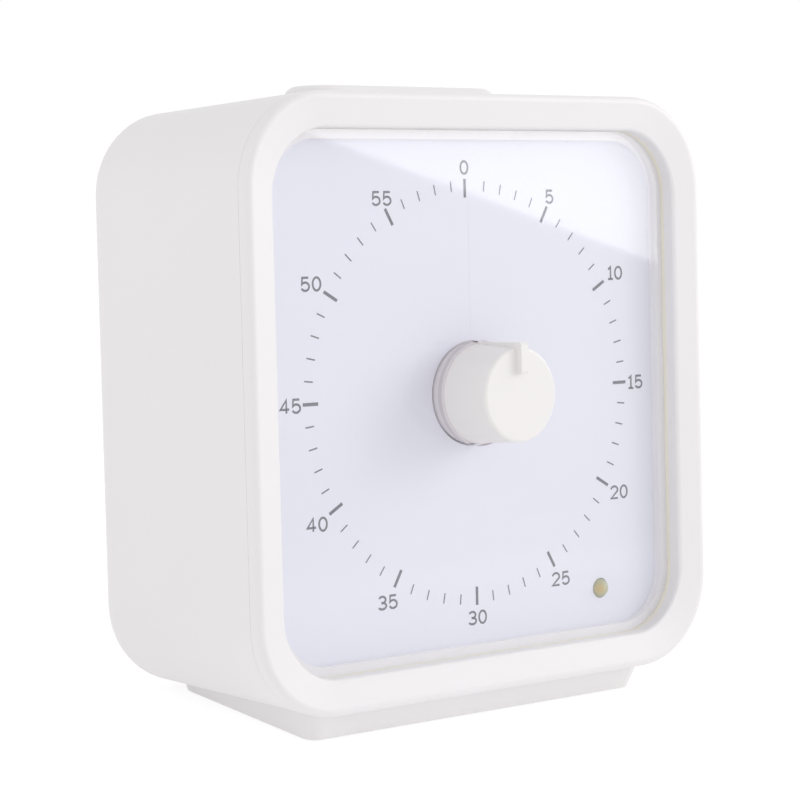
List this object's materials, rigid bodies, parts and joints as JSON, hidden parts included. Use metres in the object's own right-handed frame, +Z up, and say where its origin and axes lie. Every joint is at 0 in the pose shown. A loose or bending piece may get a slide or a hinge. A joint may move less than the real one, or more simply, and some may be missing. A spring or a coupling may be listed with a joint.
{
  "type": "visual countdown timer",
  "caption": "Square desk timer that leans back on a wedge foot, with a printed minute dial behind a clear lens, a centre knob and a colour disc that winds in through a slit.",
  "frame": {"origin": "on the table, under the middle of the whole timer's box", "axes": "+Z up, the dial faces -Y and leans back by 7.5 degrees, +X to the viewer's right"},
  "size_m": [0.0892, 0.0542, 0.0931],
  "materials": {
    "shell_white": "fine moulded satin",
    "knob_white": "satin moulded",
    "clear_lens": "clear acrylic, polished",
    "clear_tape": "clear double-sided acrylic tape",
    "dial_card": "matt printed card, pale blue-white",
    "grey_plastic": "moulded satin",
    "disc_film": "matt coloured film",
    "acetal": "natural acetal",
    "steel": "bright turned or stamped steel",
    "magnet": "sintered magnet, pinion moulded on",
    "copper_wire": "enamelled copper winding",
    "dark_plastic": "moulded matt",
    "board_green": "solder-masked laminate",
    "led_amber": "clear moulded epoxy, tinted",
    "cell_jacket": "plain shrink jacket",
    "pad_rubber": "soft pale rubber"
  },
  "bodies": {
    "casing": {"rear_shell": "shell_white", "front_bezel": "shell_white", "lens": "clear_lens", "lens_tape": "clear_tape", "dial_sheet": "dial_card", "dial_plate": "grey_plastic", "gear_pin": "steel", "motor_stator": "steel", "motor_coil": "copper_wire", "movement_case": "dark_plastic", "movement_lid": "dark_plastic", "movement_screws": "steel", "circuit_board": "board_green", "board_chips": "dark_plastic", "board_screws": "steel", "indicator_led": "led_amber", "led_spacer": "acetal", "button_switch": "dark_plastic", "volume_switch": "steel", "buzzer": "dark_plastic", "battery_cells": "cell_jacket", "battery_contacts": "steel", "case_screws": "steel", "plate_screws": "steel", "foot_pads": "pad_rubber"},
    "knob_set": {"knob": "knob_white", "spindle": "steel", "disc_hub": "grey_plastic", "disc_clamp": "acetal", "time_disc": "disc_film", "spindle_gear": "acetal", "clutch_spring": "steel", "retaining_clip": "steel"},
    "reduction_gear": {"intermediate_gear": "acetal"},
    "rotor": {"motor_rotor": "magnet"},
    "button_set": {"top_button": "shell_white", "switch_plunger": "dark_plastic"},
    "slider": {"volume_slider": "dark_plastic"},
    "door": {"battery_door": "shell_white"}
  },
  "joints": [
    {"name": "knob_turn", "type": "hinge", "parent": "casing", "child": "knob_set", "pos_m": [0, -0.01477, 0.04833], "axis": [0, 0.9914, -0.1305], "range_deg": [0, 360]},
    {"name": "reduction_spin", "type": "hinge", "parent": "casing", "child": "reduction_gear", "pos_m": [0.015, -0.01477, 0.04833], "axis": [0, 0.9914, -0.1305], "range_deg": [-1440, 0]},
    {"name": "rotor_spin", "type": "hinge", "parent": "casing", "child": "rotor", "pos_m": [0.01937, -0.01379, 0.05584], "axis": [0, 0.9914, -0.1305], "range_deg": [0, 5760]},
    {"name": "button_press", "type": "slide", "parent": "casing", "child": "button_set", "axis": [0, -0.1305, -0.9914], "range_m": [0, 0.0006], "stiffness_N_per_m": 400, "springref_m": -0.0015},
    {"name": "volume_slide", "type": "slide", "parent": "casing", "child": "slider", "axis": [1, 0, 0], "range_m": [-0.002, 0.002]},
    {"name": "door_lift_off", "type": "slide", "parent": "casing", "child": "door", "axis": [0, 0.9914, -0.1305], "range_m": [0, 0.02]}
  ],
  "couplings": [
    {"joint": "reduction_spin", "follows": "knob_turn", "ratio": -4},
    {"joint": "rotor_spin", "follows": "knob_turn", "ratio": 16}
  ]
}
